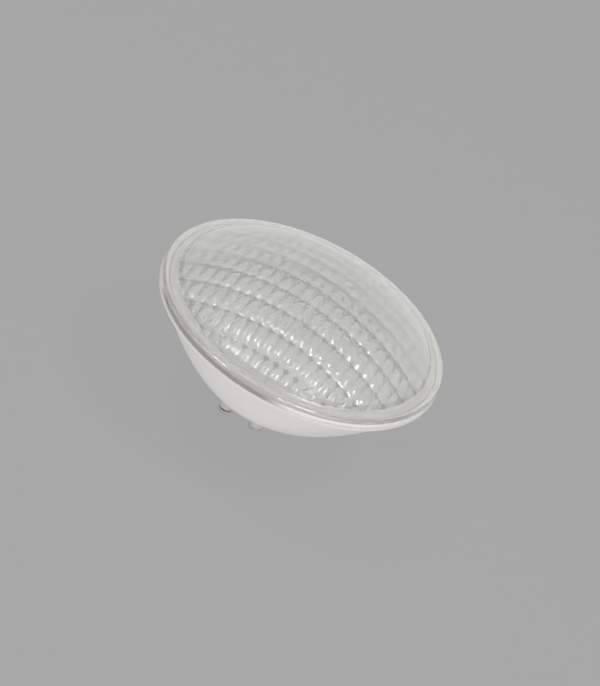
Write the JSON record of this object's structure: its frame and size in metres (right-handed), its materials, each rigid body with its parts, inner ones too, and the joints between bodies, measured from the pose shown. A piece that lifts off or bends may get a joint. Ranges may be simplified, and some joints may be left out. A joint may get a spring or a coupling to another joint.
{
  "type": "underwater pool light",
  "caption": "Round underwater pool lamp: a clear fluted dome lens with a thick clear rim on a white bowl-shaped shell, with screw terminals behind.",
  "frame": {"origin": "centre of the flange's rear face, where the lamp seats in its niche", "axes": "+Z along the lamp's axis out through the lens, +X along the line of the terminals and the rows of flutes"},
  "size_m": [0.1778, 0.1778, 0.1155],
  "materials": {
    "clear_lens": "clear polycarbonate, polished",
    "white_shell": "white moulded plastic, satin gloss",
    "clear_silicone": "translucent grey silicone",
    "adhesive": "cured clear adhesive",
    "reflector_white": "white moulded plastic",
    "board_white": "aluminium core under white solder mask",
    "led_body": "white moulded package",
    "led_window": "pale clear fill",
    "thermal_grey": "grey thermal sheet",
    "sink_aluminium": "extruded, bare",
    "fixing_steel": "zinc plated",
    "terminal_steel": "bright stainless",
    "connector_white": "natural nylon",
    "grommet_rubber": "black rubber",
    "lead_white": "insulated lead",
    "lead_grey": "insulated lead",
    "lead_brown": "insulated lead",
    "lead_blue": "insulated lead",
    "driver_laminate": "glass fibre laminate under green mask",
    "black_epoxy": "moulded epoxy",
    "capacitor_sleeve": "shrunk sleeve",
    "ferrite": "sintered ferrite",
    "copper_wire": "enamelled copper",
    "terminal_brass": "turned brass"
  },
  "bodies": {
    "lamp": {"front_lens": "clear_lens", "rear_shell": "white_shell", "rim_seal": "clear_silicone", "bond_bead": "adhesive", "reflector_ring": "reflector_white", "led_board": "board_white", "led_packages": "led_body", "led_windows": "led_window", "thermal_pad": "thermal_grey", "heat_sink": "sink_aluminium", "board_screws": "fixing_steel", "board_connector": "connector_white", "lead_grommet": "grommet_rubber", "positive_lead": "lead_white", "negative_lead": "lead_grey", "driver_board": "driver_laminate", "driver_screws": "fixing_steel", "bridge_rectifier": "black_epoxy", "smoothing_capacitors": "capacitor_sleeve", "choke_core": "ferrite", "choke_winding": "copper_wire", "control_chip": "black_epoxy", "power_transistor": "black_epoxy", "terminal_bushes": "terminal_brass", "terminal_seals": "grommet_rubber", "solder_tags": "terminal_brass", "terminal_nuts": "fixing_steel", "left_supply_lead": "lead_brown", "right_supply_lead": "lead_blue"},
    "left_washer": {"left_terminal_washer": "terminal_steel"},
    "left_screw": {"left_terminal_screw": "terminal_steel"},
    "right_washer": {"right_terminal_washer": "terminal_steel"},
    "right_screw": {"right_terminal_screw": "terminal_steel"}
  },
  "joints": [
    {"name": "left_washer_travel", "type": "slide", "parent": "lamp", "child": "left_washer", "axis": [0, 0, 1], "range_m": [-0.0032, 0.0008]},
    {"name": "left_screw_turn", "type": "hinge", "parent": "left_washer", "child": "left_screw", "pos_m": [-0.0165, 0, -0.0775], "axis": [0, 0, 1], "range_deg": [-1680, 440]},
    {"name": "right_washer_travel", "type": "slide", "parent": "lamp", "child": "right_washer", "axis": [0, 0, 1], "range_m": [-0.004, 0]},
    {"name": "right_screw_turn", "type": "hinge", "parent": "right_washer", "child": "right_screw", "pos_m": [0.0045, 0, -0.0775], "axis": [0, 0, 1], "range_deg": [-2090, 30]}
  ],
  "couplings": [
    {"joint": "left_screw_turn", "follows": "left_washer_travel", "rad_per_m": 8976},
    {"joint": "right_screw_turn", "follows": "right_washer_travel", "rad_per_m": 8976}
  ]
}
